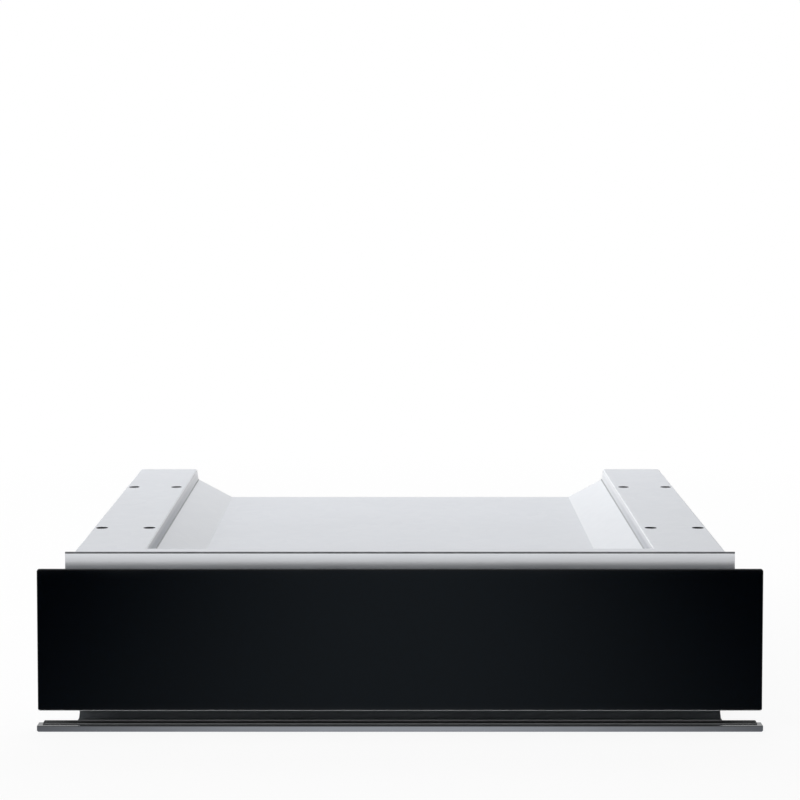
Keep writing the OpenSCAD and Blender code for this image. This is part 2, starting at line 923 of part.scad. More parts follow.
// The galvanised outer box of the drawer
module drawer_body() {
    vent_x = [-60, 60];
    vent_pitch = 14;
    vent_r = 2;
    side_top = rim_z - drawer_t;
    front_top = rim_z - fascia_h;
    path = [[-drawer_x, side_top], [-drawer_x, drawer_z], [drawer_x, drawer_z], [drawer_x, side_top]];
    color("#b9bdc1")
        difference() {
            union() {
                along_y(drawer_front_y, drawer_back_y - drawer_front_y) polygon(folded(path, drawer_t));
                translate([-drawer_x, drawer_front_y, drawer_z])
                    cube([2 * drawer_x, drawer_t, front_top - drawer_z]);
                translate([-drawer_x, drawer_back_y - drawer_t, drawer_z])
                    cube([2 * drawer_x, drawer_t, side_top - drawer_z]);
            }
            front_screw_places() rod_y(-1, 5, screw_hole_r);
            both_sides()
                drawer_rivet_places() rod_x(-3, 6, screw_r);
            for (x = vent_x, i = [-2:2])
                translate([x + vent_pitch * i, 0, fan_z])
                    along_y(drawer_back_y - 5, 10) rotate(90) slot(30, vent_r);
            translate([arm_x + 14, 0, 60]) rod_y(drawer_back_y - 5, 10, lead_r + 1);
        }
}

// The stainless pan: a deck with a rounded well, and a window for the fan in the well's rear wall
module warming_pan() {
    t = drawer_t;
    mid_y = pan_y + pan_d / 2;
    deck_y = fascia_y + fascia_d;
    deck_z = rim_z - t;
    color("#c6c9cc")
        difference() {
            union() {
                translate([-drawer_x, deck_y, deck_z]) cube([2 * drawer_x, drawer_back_y - deck_y, t]);
                translate([0, mid_y, pan_z]) pressed(2 * pan_x, pan_d, deck_z - pan_z, pan_r, pan_floor_r);
            }
            translate([0, mid_y, pan_z + t])
                pressed(2 * (pan_x - t), pan_d - 2 * t, rim_z, pan_r - t, pan_floor_r - t);
            translate([0, mid_y, pan_z - 1]) linear_extrude(3) rounded(2 * heated_x, heated_d, 12);
            translate([-window_x, pan_y + pan_d - 5, window_low])
                cube([2 * window_x, 10, window_high - window_low]);
            grille_screw_places() rod_y(-5, 10, 1.6);
        }
}

module plate_seal() {
    color("#3b3c3e")
        translate([0, pan_y + pan_d / 2, pan_z + drawer_t])
            linear_extrude(1)
                difference() {
                    rounded(2 * (heated_x + plate_margin) - 4, heated_d + 2 * plate_margin - 4, 13);
                    rounded(2 * (heated_x + 6), heated_d + 12, 12);
                }
}

module glass_plate() {
    color("#2a2d30")
        translate([0, pan_y + pan_d / 2, pan_z + drawer_t + 1])
            linear_extrude(plate_t) rounded(2 * (heated_x + plate_margin), heated_d + 2 * plate_margin, 14);
}

// An etched-foil heater under the plate, with its tracks on its underside
module heater_mat() {
    w = 2 * heated_x - 12;
    d = heated_d - 12;
    tracks = 9;
    step = d / tracks;
    color("#b4652f")
        translate([0, pan_y + pan_d / 2, pan_z]) {
            linear_extrude(drawer_t + 1) rounded(w, d, 10);
            for (i = [0:tracks - 1])
                translate([-w / 2 + 14, -d / 2 + step * (i + 0.5) - 3, -0.6]) cube([w - 28, 6, 0.6]);
        }
}

module insulation_board() {
    color("#d9cf9f")
        translate([0, pan_y + pan_d / 2, drawer_z + drawer_t])
            linear_extrude(20) rounded(2 * pan_x - 4, pan_d - 8, 10);
}

module grille_screw_places() {
    for (sx = [-1, 1], z = [window_low - 3, window_high + 3])
        translate([sx * (window_x - 8), pan_y + pan_d - drawer_t, z]) children();
}

// The grille over the fan: rings of slots in the middle and upright slots on both sides
module fan_grille() {
    t = 1;
    rings = [8, 15.5];
    slits = 9;
    first_slit_x = 34;
    slit_pitch = 8.4;
    color("#c2c5c8")
        difference() {
            along_y(pan_y + pan_d - drawer_t - t, t)
                translate([0, (window_low + window_high) / 2])
                    difference() {
                        rounded(2 * window_x + 8, window_high - window_low + 12, 4);
                        for (ring = rings, a = [0:45:315])
                            rotate(a + ring * 3) translate([ring, 0]) rotate(90) slot(ring * 0.6, 1.4);
                        circle(2.2);
                        for (s = [-1, 1], i = [0:slits - 1])
                            translate([s * (first_slit_x + slit_pitch * i), 0]) rotate(90) slot(28, 1.7);
                    }
            grille_screw_places() rod_y(-5, 10, 1.6);
        }
}

module grille_screws() {
    color("#9a9da1")
        grille_screw_places() rotate([90, 0, 0])
            translate([0, 0, 1]) {
                cylinder(h = 1.4, r = 3);
                translate([0, 0, -4]) cylinder(h = 4, r = 1.4);
            }
}

// Fan, heater and their duct

module fan_duct() {
    t = 0.8;
    half = window_x + 4;
    low = window_low - 1;
    high = window_high + 1;
    boss_hole_r = 8;
    color("#a7abaf")
        difference() {
            translate([-half, duct_y, low]) cube([2 * half, duct_d, high - low]);
            translate([-half + t, duct_y - t, low + t]) cube([2 * (half - t), duct_d, high - low - 2 * t]);
            translate([0, 0, fan_z]) rod_y(duct_y, 40, boss_hole_r);
            for (s = [-1, 1], z = [-tube_z, tube_z])
                translate([s * (window_x - 4), 0, fan_z + z]) rod_y(duct_y, 40, tube_r + 0.3);
        }
}

// One hairpin of tubular heater on each side of the fan, with its cold ends through the duct
module air_heater() {
    x0 = fan_d / 2 + 16;
    x1 = window_x - 4;
    y = duct_y + 12;
    end_y = motor_y + 6;
    color("#6d6f72")
        both_sides()
            translate([0, 0, fan_z]) {
                for (s = [-1, 1])
                    translate([0, y, s * tube_z]) {
                        rod_x(x0, x1 - x0 - bend_r, tube_r);
                        translate([x1 - bend_r, bend_r, 0]) rotate([0, 0, -90])
                            rotate_extrude(angle = 90) translate([bend_r, 0]) circle(tube_r);
                        translate([x1, bend_r, 0]) rod_y(0, end_y - y - bend_r, tube_r);
                        translate([x1, end_y - y, 0]) rod_y(0, 6, 1.4);
                    }
                translate([x0, y, 0]) rotate([90, 0, 0]) rotate([0, 0, 90])
                    rotate_extrude(angle = 180) translate([tube_z, 0]) circle(tube_r);
            }
}

module fan_motor() {
    plate_w = 2 * motor_r + 26;
    plate_h = 20;
    body_y = motor_y + 3;
    body_d = 20;
    fin = [1.2, 14, 2];
    color("#55585c")
        translate([0, 0, fan_z])
            difference() {
                union() {
                    rod_y(body_y, body_d, motor_r);
                    rod_y(motor_y, body_y - motor_y, 6);
                    along_y(motor_y, 1.5)
                        difference() {
                            square([plate_w, plate_h], center = true);
                            for (s = [-1, 1])
                                translate([s * (motor_r + 7), 0]) circle(2);
                        }
                    for (a = [0:30:330])
                        rotate([0, a, 0]) translate([motor_r - 0.5, body_y + 3, -fin[2] / 2]) cube(fin);
                }
                rod_y(motor_y - 1, 15, shaft_r + pivot_gap);
            }
}

// The wheel: a back disc, a front ring, curved blades between them, a hub and its shaft
module fan_wheel() {
    r = fan_d / 2;
    blade_r = 9;
    ring_w = 6;
    hub_r = 4;
    color("#d9dcdf")
        translate([0, 0, fan_z]) {
            rod_y(fan_y + fan_depth - 1, 1, r);
            along_y(fan_y, 1)
                difference() {
                    circle(r);
                    circle(r - ring_w);
                }
            along_y(fan_y + 1, fan_depth - 2)
                for (a = [0:360 / fan_blades:359])
                    rotate(a)
                        intersection() {
                            translate([r - ring_w - 1, blade_r - 1])
                                difference() {
                                    circle(blade_r);
                                    circle(blade_r - 0.8);
                                }
                            translate([r - ring_w - 0.5, -2]) square([ring_w, 6]);
                        }
            rod_y(fan_y + 4, fan_depth - 4, hub_r);
            rod_y(fan_y + 4, motor_y + 13 - fan_y - 4, shaft_r);
        }
}

module thermal_cutout() {
    color("#c9b26a")
        translate([70, motor_y, fan_z]) {
            rod_y(0, 4, 8);
            rod_y(4, 5, 6);
            for (s = [-1, 1])
                translate([s * 3 - 1.6, 9, -0.4]) cube([3.2, 8, 0.8]);
        }
}

module strike_plates() {
    color("#d7dade")
        for (s = [-1, 1])
            translate([s * latch_x, 0, latch_z]) along_y(drawer_back_y, strike_t) rounded(26, 26, 3);
}

// Controls on the drawer's front edge

// A moulding with rounded upper edges, a shallow seat round the knob and openings for the controls
module control_fascia() {
    half = drawer_x - drawer_t;
    edge_r = 1;
    seat_r = knob_d / 2 + 0.8;
    seat_depth = 0.5;
    well = button_w + 0.6;
    color("#17191b")
        difference() {
            along_x(-half, 2 * half)
                translate([control_y, rim_z]) mirror([0, 1]) floor_edges(fascia_d, fascia_h, edge_r);
            translate([knob_x, control_y, 0]) cylinder(h = 200, r = selector_r + 0.4);
            translate([knob_x, control_y, rim_z - seat_depth]) cylinder(h = 2, r = seat_r);
            translate([button_x, control_y, 100]) cube([well, well, 50], center = true);
            translate([lens_x, control_y, 0]) cylinder(h = 200, r = lens_r + 0.1);
        }
}

// The stepped energy regulator under the knob, with tabs for its leads
module energy_regulator() {
    top = rim_z - fascia_h;
    body = [32, 30, 30];
    neck = 3;
    tab = [0.8, 6.3, 8];
    tab_x = [-10, -3, 4];
    color("#dcdcd6")
        translate([knob_x, control_y, top])
            difference() {
                union() {
                    translate([-body[0] / 2, -body[1] / 2, -neck - body[2]]) cube(body);
                    translate([0, 0, -neck]) cylinder(h = neck, r = 6);
                    for (x = tab_x)
                        translate([x, -3, -neck - body[2] - tab[2]]) cube(tab);
                }
                translate([0, 0, -20]) cylinder(h = 40, r = selector_r + pivot_gap);
            }
}

module selector_shaft() {
    below = 19;
    above = 5;
    color("#b9bcc0")
        translate([knob_x, control_y, rim_z - fascia_h - below])
            cylinder(h = below + fascia_h + above, r = selector_r);
}

// The knob: a skirted dish with a grip bar across it and a pointer notch towards the back
module temperature_knob() {
    r = knob_d / 2;
    skirt = 2.4;
    grip_z = 3.8;
    grip_half = 4;
    notch_w = 1;
    notch_depth = 0.8;
    color("#b5b8bb")
        translate([knob_x, control_y, rim_z + 0.3])
            difference() {
                union() {
                    cylinder(h = skirt, r = r);
                    translate([0, 0, skirt]) cylinder(h = knob_h - skirt, r1 = r - 2.5, r2 = r - 4);
                }
                for (s = [-1, 1])
                    translate([s * (r + grip_half) - r, -r, grip_z]) cube([2 * r, 2 * r, knob_h]);
                translate([-notch_w / 2, 2, knob_h - notch_depth]) cube([notch_w, r, 2]);
                translate([0, 0, -1]) cylinder(h = 6, r = selector_r + 0.02);
            }
}

module power_switch() {
    body_w = 20;
    body_h = 24;
    well = button_w + 0.6;
    color("#2a2c2e")
        translate([button_x, control_y, rim_z - fascia_h])
            difference() {
                translate([-body_w / 2, -body_w / 2, -body_h]) cube([body_w, body_w, body_h]);
                cube([well, well, 16], center = true);
            }
}

module power_button() {
    height = 9;
    dish_r = 17.6;
    dish_depth = 0.6;
    color("#e9eaeb")
        translate([button_x, control_y, rim_z - fascia_h - height / 2])
            difference() {
                translate([-button_w / 2, -button_w / 2, 0]) cube([button_w, button_w, height]);
                translate([0, 0, height - dish_depth + dish_r]) sphere(r = dish_r);
            }
}

// A stepped lens with a domed top
module indicator_lens() {
    foot_h = 6;
    dome_r = 5;
    dome_h = dome_r - sqrt(dome_r * dome_r - lens_r * lens_r);
    color("#d8572a")
        translate([lens_x, control_y, rim_z - fascia_h - foot_h]) {
            cylinder(h = foot_h, r = 4.2);
            cylinder(h = foot_h + fascia_h, r = lens_r);
            intersection() {
                cylinder(h = foot_h + fascia_h + dome_h, r = lens_r);
                translate([0, 0, foot_h + fascia_h + dome_h - dome_r]) sphere(r = dome_r);
            }
        }
}

// The cable arm: two channel-shaped links that unfold behind the drawer and carry its lead.
// Each link is drawn along X from its first pivot, with its floor at Z = 0.

module stadium(r) {
    translate([0, -r]) square([arm_len, 2 * r]);
    circle(r);
    translate([arm_len, 0]) circle(r);
}

module channel_link(pivot_up) {
    difference() {
        linear_extrude(link_h) stadium(arm_w / 2);
        translate([0, 0, link_t]) linear_extrude(link_h) stadium(arm_w / 2 - link_t);
        translate([0, 0, -1]) cylinder(h = 3, r = pivot_r + pivot_gap);
        for (x = [50:60:arm_len - 50])
            translate([x, 0, -1]) linear_extrude(3) slot(34, 2.4);
    }
    difference() {
        union() {
            translate([arm_len, 0, link_h - link_t]) cylinder(h = link_t, r = arm_w / 2);
            translate([arm_len, 0, link_h]) cylinder(h = pivot_up, r = pivot_r);
        }
        translate([arm_len, 0, link_h - link_t - 1]) cylinder(h = pivot_up + 5, r = lead_bore);
        translate([arm_len - 9, -lead_bore, link_h - link_t - 1]) cube([9, 2 * lead_bore, link_t + 1]);
    }
}

module at_rear_link() {
    translate([arm_x, arm_rear_y, rear_link_z]) rotate(arm_fold - 90) children();
}

module at_front_link() {
    elbow = [arm_x + arm_len * sin(arm_fold), (arm_rear_y + arm_front_y) / 2];
    translate([elbow[0], elbow[1], front_link_z]) rotate(-90 - arm_fold) children();
}

module rear_link() {
    color("#c0c4c8")
        at_rear_link() channel_link(front_link_z - rear_link_z - link_h + link_t);
}

module front_link() {
    color("#c0c4c8")
        at_front_link() channel_link(6);
}

// The housing's end of the arm: a foot on the base tray with the arm's hollow pivot on it
module arm_bracket() {
    z = tray_z + sheet;
    color("#9fa3a7")
        translate([arm_x, arm_rear_y, z])
            difference() {
                union() {
                    translate([-14, -24, 0]) cube([28, 30, 1.5]);
                    cylinder(h = rear_link_z - 0.3 - z, r = 8);
                    cylinder(h = rear_link_z + link_t - z, r = pivot_r);
                }
                translate([0, 0, 3]) cylinder(h = 40, r = lead_bore);
            }
}

// A quarter bend of the lead, from straight up at the origin to level along X
module lead_corner() {
    translate([lead_bend, 0, 0]) rotate([90, 0, 0]) rotate([0, 0, 90])
        rotate_extrude(angle = 90) translate([lead_bend, 0]) circle(lead_r);
}

// The lead in a link: level along the channel, and up at its far end through the pivot
module link_lead(drop, rise) {
    level = lead_level;
    translate([0, 0, level]) rod_x(lead_bend, arm_len - 2 * lead_bend, lead_r);
    translate([arm_len, 0, level + lead_bend]) mirror([0, 0, 1]) mirror([1, 0, 0]) lead_corner();
    translate([arm_len, 0, level + lead_bend]) cylinder(h = rise - level - lead_bend, r = lead_r);
    if (drop > 0) {
        translate([0, 0, level + lead_bend]) mirror([0, 0, 1]) lead_corner();
        translate([0, 0, level + lead_bend]) cylinder(h = drop - level - lead_bend, r = lead_r);
    } else {
        translate([0, 0, level - lead_bend]) lead_corner();
    }
}

module rear_lead() {
    color("#6a6c6f")
        at_rear_link() link_lead(box_at[2] + 1 - rear_link_z, lead_level + lead_bend + 0.3);
}

module front_lead() {
    color("#6a6c6f")
        at_front_link() link_lead(0, link_h + 10);
}

// The drawer's end of the arm: a slotted catch, because the link's end runs ahead in mid travel
module arm_catch() {
    color("#9fa3a7")
        difference() {
            union() {
                translate([arm_x - 12, drawer_back_y, catch_z]) cube([24, 32, 1.5]);
                translate([arm_x - 12, drawer_back_y, catch_z]) cube([24, 1.5, 14]);
            }
            translate([arm_x, arm_front_y - 5, catch_z - 1])
                linear_extrude(5) rotate(90) slot(21, pivot_r + 0.3);
        }
}

base_tray();
on_side(-1) side_panel();  // left_side_panel
on_side(1) side_panel();  // right_side_panel
rear_panel();
top_cover();
front_frame();
frame_seal();
plinth_panel();
sill_bar();
base_feet();
housing_screws();
slide_rivets();
terminal_box();
terminal_lid();
cable_gland();
latch_bodies();
arm_bracket();
on_side(-1) cabinet_rail();  // left_cabinet_rail
on_side(1) cabinet_rail();  // right_cabinet_rail
on_side(-1) middle_rail();  // left_middle_rail
on_side(1) middle_rail();  // right_middle_rail
on_side(-1) drawer_rail();  // left_drawer_rail
on_side(1) drawer_rail();  // right_drawer_rail
on_side(-1) ball_cage(outer_ball, 1.65);  // left_outer_cage
on_side(1) ball_cage(outer_ball, 1.65);  // right_outer_cage
on_side(-1) ball_cage(inner_ball, 4.1);  // left_inner_cage
on_side(1) ball_cage(inner_ball, 4.1);  // right_inner_cage
on_side(-1) latch_plunger();  // left_latch_plunger
on_side(1) latch_plunger();  // right_latch_plunger
front_glass();
front_bond();
front_carrier();
front_screws();
drawer_body();
drawer_rivets();
warming_pan();
plate_seal();
glass_plate();
heater_mat();
insulation_board();
fan_grille();
grille_screws();
fan_duct();
air_heater();
fan_motor();
fan_wheel();
thermal_cutout();
strike_plates();
arm_catch();
control_fascia();
energy_regulator();
power_switch();
indicator_lens();
temperature_knob();
selector_shaft();
power_button();
rear_link();
rear_lead();
front_link();
front_lead();
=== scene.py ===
"""The look of a built-in warming drawer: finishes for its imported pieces, the small marks on its controls
and heated plate, and a plain studio round it. Metres, +Z up, the glass front towards -Y."""

import json
import math

import bpy
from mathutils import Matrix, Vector


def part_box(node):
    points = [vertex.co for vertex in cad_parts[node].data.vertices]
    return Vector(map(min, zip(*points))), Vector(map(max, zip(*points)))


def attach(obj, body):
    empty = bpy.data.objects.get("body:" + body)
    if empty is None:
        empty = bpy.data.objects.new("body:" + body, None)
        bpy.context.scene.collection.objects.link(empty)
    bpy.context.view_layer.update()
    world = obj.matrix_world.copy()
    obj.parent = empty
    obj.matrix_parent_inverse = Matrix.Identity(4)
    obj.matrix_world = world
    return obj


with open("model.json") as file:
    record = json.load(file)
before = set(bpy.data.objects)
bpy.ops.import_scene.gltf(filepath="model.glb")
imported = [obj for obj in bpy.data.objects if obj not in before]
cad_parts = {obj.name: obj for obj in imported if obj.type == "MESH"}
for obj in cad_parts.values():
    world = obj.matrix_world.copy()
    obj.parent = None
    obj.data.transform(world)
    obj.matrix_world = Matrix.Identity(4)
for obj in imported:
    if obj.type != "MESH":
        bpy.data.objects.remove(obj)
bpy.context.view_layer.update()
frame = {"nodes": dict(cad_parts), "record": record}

NODES = frame["nodes"]
MM = 0.001


def top_of(node):
    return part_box(node)[1][2]


def middle_of(node):
    low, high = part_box(node)
    return (low[0] + high[0]) / 2, (low[1] + high[1]) / 2


def half_sizes(node):
    low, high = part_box(node)
    return (high[0] - low[0]) / 2, (high[1] - low[1]) / 2


def new_object(name, data):
    obj = bpy.data.objects.new(name, data)
    bpy.context.scene.collection.objects.link(obj)
    return obj


# Nodes

# A noise texture mostly stays between these values
NOISE_LOW, NOISE_HIGH = 0.3, 0.7
# How open the hollow side of a fold still is where its shade is full
FOLD_OPEN = 0.35


class Nodes:
    """Short calls that add nodes to the tree of a material or world and join them."""

    def __init__(self, owner):
        owner.use_nodes = True
        self.tree = owner.node_tree

    def add(self, kind, **values):
        node = self.tree.nodes.new(kind)
        for name, value in values.items():
            setattr(node, name, value)
        return node

    def link(self, source, socket):
        self.tree.links.new(source, socket)

    def feed(self, value, socket):
        """Links an output to the socket, or sets the socket to a plain value."""
        if isinstance(value, bpy.types.NodeSocket):
            self.link(value, socket)
        else:
            socket.default_value = value

    def spread(self, source, low, high, source_low=NOISE_LOW, source_high=NOISE_HIGH, smooth=False):
        """Maps source_low to source_high onto low to high, and stays at low or high beyond them."""
        node = self.add("ShaderNodeMapRange")
        if smooth:
            node.interpolation_type = "SMOOTHSTEP"
        names = ("Value", "From Min", "From Max", "To Min", "To Max")
        for name, value in zip(names, (source, source_low, source_high, low, high)):
            self.feed(value, node.inputs[name])
        return node.outputs["Result"]

    def above(self, source, low, high):
        """A mask that grows from 0 to 1 as the source goes from low to high."""
        return self.spread(source, 0.0, 1.0, low, high)

    def below(self, source, low, high):
        """A mask that falls from 1 to 0 as the source goes from low to high."""
        return self.spread(source, 1.0, 0.0, low, high)

    def blend(self, factor, first, second):
        """Goes from the first colour to the second, each a value or an output."""
        node = self.add("ShaderNodeMix", data_type="RGBA")
        self.link(factor, node.inputs["Factor"])
        for value, socket in zip((first, second), [i for i in node.inputs if i.type == "RGBA"]):
            self.feed(value, socket)
        return [o for o in node.outputs if o.type == "RGBA"][0]

    def calculate(self, operation, *values):
        node = self.add("ShaderNodeMath", operation=operation)
        for value, socket in zip(values, node.inputs):
            self.link(value, socket)
        return node.outputs[0]

    def times(self, first, second):
        return self.calculate("MULTIPLY", first, second)

    def size_of(self, source):
        return self.calculate("ABSOLUTE", source)

    def split(self, vector):
        """A vector's parts, by the names X, Y and Z."""
        node = self.add("ShaderNodeSeparateXYZ")
        self.link(vector, node.inputs["Vector"])
        return node.outputs

    def coordinates(self, kind="Object"):
        return self.add("ShaderNodeTexCoord").outputs[kind]


class Finish(Nodes):
    """A material on one Principled BSDF, whose colour, roughness and bump vary over the surface."""

    def __init__(self, name, colour, roughness, metallic=0.0):
        self.name = name
        self.colour = colour
        self.normal = None
        self.material = bpy.data.materials.new(name)
        super().__init__(self.material)
        self.inputs = self.tree.nodes["Principled BSDF"].inputs
        self.set("Base Color", (*colour, 1.0))
        self.set("Roughness", roughness)
        self.set("Metallic", metallic)

    def set(self, socket, value):
        self.inputs[socket].default_value = value

    def so_far(self, socket):
        return self.inputs[socket].links[0].from_socket

    def place(self, stretch):
        """Object coordinates in metres, stretched along each axis."""
        node = self.add("ShaderNodeMapping")
        node.inputs["Scale"].default_value = stretch
        self.link(self.coordinates(), node.inputs["Vector"])
        return node.outputs["Vector"]

    def facing(self, kind="True Normal"):
        """The direction that the surface faces, by its X, Y and Z."""
        return self.split(self.add("ShaderNodeNewGeometry").outputs[kind])

    def noise(self, per_metre, detail, stretch=(1, 1, 1)):
        node = self.add("ShaderNodeTexNoise")
        node.inputs["Scale"].default_value = per_metre
        node.inputs["Detail"].default_value = detail
        self.link(self.place(stretch), node.inputs["Vector"])
        return node.outputs["Fac"]

    def cells(self, per_metre, output, stretch=(1, 1, 1)):
        node = self.add("ShaderNodeTexVoronoi")
        node.inputs["Scale"].default_value = per_metre
        self.link(self.place(stretch), node.inputs["Vector"])
        return node.outputs[output]

    def fold_mask(self, reach):
        """Grows towards 1 within reach of a fold's hollow side."""
        node = self.add("ShaderNodeAmbientOcclusion", only_local=True, samples=8)
        node.inputs["Distance"].default_value = reach
        return self.below(node.outputs["AO"], FOLD_OPEN, 1.0)

    def tint(self, source, at_low, at_high, source_low=NOISE_LOW, source_high=NOISE_HIGH):
        """Varies the base colour between two brightnesses of itself."""
        colours = [(*(part * share for part in self.colour), 1.0) for share in (at_low, at_high)]
        factor = self.above(source, source_low, source_high)
        self.link(self.blend(factor, *colours), self.inputs["Base Color"])

    def paint(self, mask, colour):
        """Goes from the colour so far to the given one where the mask is 1."""
        mixed = self.blend(mask, self.so_far("Base Color"), (*colour, 1.0))
        self.link(mixed, self.inputs["Base Color"])

    def gloss(self, source, low, high, source_low=NOISE_LOW, source_high=NOISE_HIGH):
        """Varies the roughness between low and high."""
        self.link(self.spread(source, low, high, source_low, source_high), self.inputs["Roughness"])

    def roughen(self, mask, roughness):
        """Raises the roughness so far to at least the given one where the mask is 1."""
        least = self.spread(mask, 0.0, roughness, 0.0, 1.0)
        self.link(self.calculate("MAXIMUM", self.so_far("Roughness"), least), self.inputs["Roughness"])

    def bump(self, source, height, strength=1.0):
        """Raises the surface by up to height metres, on top of any bump before it."""
        node = self.add("ShaderNodeBump")
        node.inputs["Strength"].default_value = strength
        node.inputs["Distance"].default_value = height
        self.link(source, node.inputs["Height"])
        if self.normal is not None:
            self.link(self.normal, node.inputs["Normal"])
        self.normal = node.outputs["Normal"]
        self.link(self.normal, self.inputs["Normal"])


# Finishes. A noise takes its scale per metre and its detail, a tint takes two brightnesses, a gloss two
# roughnesses, and a bump its height and strength.

def galvanised(name="galvanised"):
    """Zinc coated sheet with faint spangle, and painted shade that darkens its tight folds."""
    f = Finish(name, (0.568, 0.588, 0.628), 0.36, metallic=0.15)
    f.tint(f.noise(9, 4), 0.98, 1.015)
    # Painted shade in the hollow of each tight fold
    f.paint(f.fold_mask(1.6 * MM), (0.24, 0.25, 0.265))
    f.gloss(f.cells(95, "Color", (1.0, 0.7, 1.0)), 0.33, 0.40, 0.0, 1.0)
    f.bump(f.noise(420, 2), 0.01 * MM, 0.3)
    f.bump(f.noise(6, 2), 0.3 * MM, 0.1)
    return f


# The cover's parts by how far they face sideways. Each pair is a soft step into a part or back out of it.
SLOPE_FROM, SLOPE_TO = (0.35, 0.42), (0.5, 0.6)
BEND_FROM, BEND_TO = (0.5, 0.6), (0.93, 0.97)
WALL_FROM = (0.96, 0.98)
# How far a hole's cut edge may face up or down
CUT_TO = (0.05, 0.1)
# Depths under the rails' top: of the walls' brims, between the upper and the lower bends, and of the holes
BRIM_DEPTHS = (5.5 * MM, 3 * MM)
BEND_DEPTHS = (6 * MM, 5 * MM)
HOLE_DEPTHS = (1.5 * MM, 1.3 * MM)
# Distances in from the cover's sides and ends that leave out its own outer faces
OUTER_WALL = (20 * MM, 19 * MM)
OUTER_SIDE, OUTER_END, OUTER_SOFT = 0.6 * MM, 20 * MM, 0.1 * MM

# Painted light: the slopes paler, and the walls paler still, from a small share at the front to all of it
# at the back
SLOPE_PAINTED_LIGHT = (0.69, 0.71, 0.745)
WALL_PAINTED_LIGHT = (0.84, 0.855, 0.885)
WALL_LIGHT_FRONT, WALL_LIGHT_BACK = 0.1, 1.0
# Painted highlight on the walls' brims and the upper bends, and painted shade on the lower bends
PAINTED_EDGE_HIGHLIGHT = (0.90, 0.91, 0.94)
PAINTED_EDGE_SHADE = (0.27, 0.28, 0.30)
# Painted shade, blended in by its share at the front and by none at the back
FRONT_PAINTED_SHADE = (0.36, 0.375, 0.40)
FRONT_SHADE_SHARE = 0.3
# Painted shade in the holes' cut edges
HOLE_PAINTED_SHADE = (0.03, 0.031, 0.033)


def cover_sheet():
    """The galvanised sheet, with painted light that makes the recess's slopes and walls paler, and painted
    shade that makes it a little darker towards the front. Painted highlights brighten the walls' brims and
    the upper bends, painted shade dims the lower bends, and painted shade blackens the holes' cut edges."""
    f = galvanised("cover_sheet")
    place, facing = f.split(f.coordinates()), f.facing()
    low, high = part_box("top_cover")
    sideways, aside = f.size_of(facing["X"]), f.size_of(place["X"])

    def heights(depths):
        return [high[2] - depth for depth in depths]

    # Painted light on the slopes
    slopes = f.times(f.above(sideways, *SLOPE_FROM), f.below(sideways, *SLOPE_TO))
    f.paint(slopes, SLOPE_PAINTED_LIGHT)
    # Painted light on the inner walls, growing towards the back
    inner = f.below(aside, *(high[0] - inset for inset in OUTER_WALL))
    walls = f.times(f.above(sideways, *WALL_FROM), inner)
    paler = f.spread(place["Y"], WALL_LIGHT_FRONT, WALL_LIGHT_BACK, low[1], high[1])
    f.paint(f.times(walls, paler), WALL_PAINTED_LIGHT)
    # Painted highlight along the walls' brims
    f.paint(f.times(walls, f.above(place["Z"], *heights(BRIM_DEPTHS))), PAINTED_EDGE_HIGHLIGHT)
    # Painted shade towards the front
    f.paint(f.spread(place["Y"], FRONT_SHADE_SHARE, 0.0, low[1], high[1]), FRONT_PAINTED_SHADE)
    # Painted highlight on the upper bends and painted shade on the lower ones
    bends = f.times(f.above(sideways, *BEND_FROM), f.below(sideways, *BEND_TO))
    f.paint(f.times(bends, f.above(place["Z"], *heights(BEND_DEPTHS))), PAINTED_EDGE_HIGHLIGHT)
    f.paint(f.times(bends, f.below(place["Z"], *heights(BEND_DEPTHS))), PAINTED_EDGE_SHADE)
    # Painted shade that blackens the holes' cut edges, leaving out the cover's own outer faces
    cuts = f.times(f.below(f.size_of(facing["Z"]), *CUT_TO), f.above(place["Z"], *heights(HOLE_DEPTHS)))
    for part, axis, inset in ((0, "X", OUTER_SIDE), (1, "Y", OUTER_END)):
        reach = min(-low[part], high[part]) - inset
        cuts = f.times(cuts, f.below(f.size_of(place[axis]), reach - OUTER_SOFT, reach))
    f.paint(cuts, HOLE_PAINTED_SHADE)
    return f


# The band over the drawer, and how far its middle stands proud
BAND_WIDTH = 16 * MM
BAND_CROWN = 0.32 * MM


def coated_frame():
    """Satin metal, whose upper band is slightly crowned, so that it mirrors light above and dark below."""
    f = Finish("coated_frame", (0.94, 0.955, 0.985), 0.41, metallic=1.0)
    f.tint(f.noise(12, 3), 0.98, 1.02)
    f.gloss(f.noise(9, 3), 0.39, 0.43)
    top = top_of("front_frame")
    across = f.spread(f.split(f.coordinates())["Z"], -1.0, 1.0, top - BAND_WIDTH, top)
    f.bump(f.below(f.times(across, across), 0.0, 1.0), BAND_CROWN)
    return f


def black_coated(name="black_coated", colour=(0.10, 0.11, 0.12)):
    f = Finish(name, colour, 0.34)
    f.tint(f.noise(60, 3), 0.94, 1.06)
    f.gloss(f.noise(35, 3), 0.31, 0.37)
    f.bump(f.noise(1300, 2), 0.01 * MM, 0.3)
    return f


# Up to these heights over the bar, the strip on it faces up and the sheet's cut edges, bare steel with a
# painted highlight, face front
STRIP_TOP, STRIP_FACING = (1.0 * MM, 1.1 * MM), (0.8, 0.9)
BARE_HIGHLIGHT_TOP, BARE_HIGHLIGHT_FACING = (2.3 * MM, 2.4 * MM), (-0.9, -0.8)
# Painted shade on the strip, blacker than the coat; its roughness is its own
STRIP_PAINTED_SHADE, STRIP_ROUGHNESS = (0.012, 0.013, 0.014), 0.85
# Bare steel on the cut edges, made paler as a painted highlight
BARE_EDGE_HIGHLIGHT = (0.42, 0.43, 0.44)


